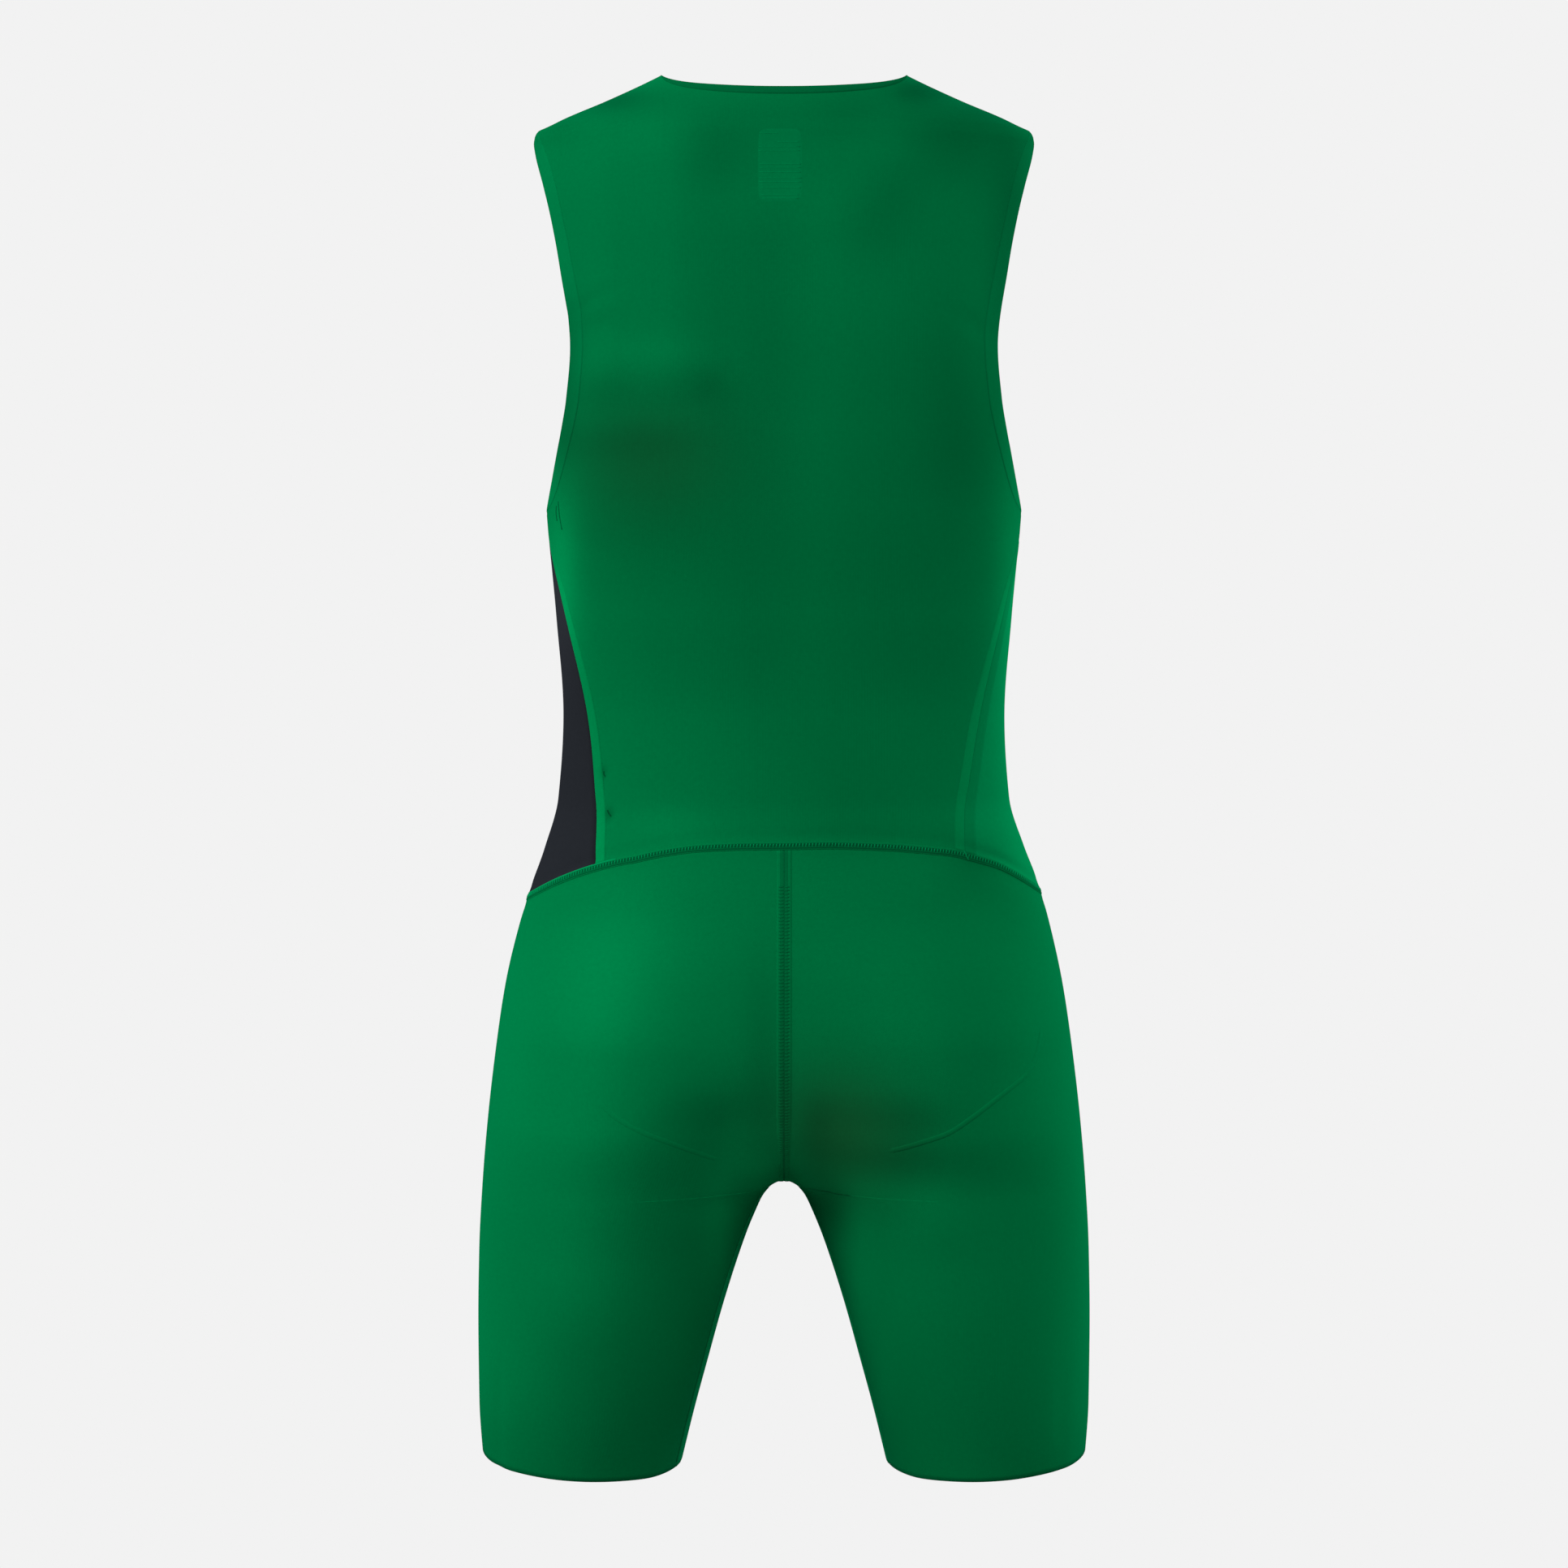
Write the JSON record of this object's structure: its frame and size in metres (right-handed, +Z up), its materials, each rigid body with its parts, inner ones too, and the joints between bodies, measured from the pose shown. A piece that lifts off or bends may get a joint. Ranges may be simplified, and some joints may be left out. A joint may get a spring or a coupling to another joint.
{
  "type": "sports jumpsuit",
  "caption": "Sleeveless one-piece sports jumpsuit with mid-thigh legs, contrast side panel and arched waist seam, in its worn form with nobody in it.",
  "frame": {"origin": "on the centre plane at the height of the two neck points, where the wearer's neck and shoulders hold the garment", "axes": "+Z up the body, front towards -Y, wearer's left side towards +X"},
  "size_m": [0.4068, 0.2279, 0.9226],
  "materials": {
    "green_stretch_knit": "smooth glossy green stretch knit",
    "navy_stretch_knit": "smooth dark navy stretch knit"
  },
  "bodies": {
    "root": {"back_bodice": "green_stretch_knit", "front_bodice": "green_stretch_knit", "side_panel_left": "navy_stretch_knit", "side_panel_right": "green_stretch_knit", "short_left": "green_stretch_knit", "short_right": "green_stretch_knit"}
  },
  "joints": []
}
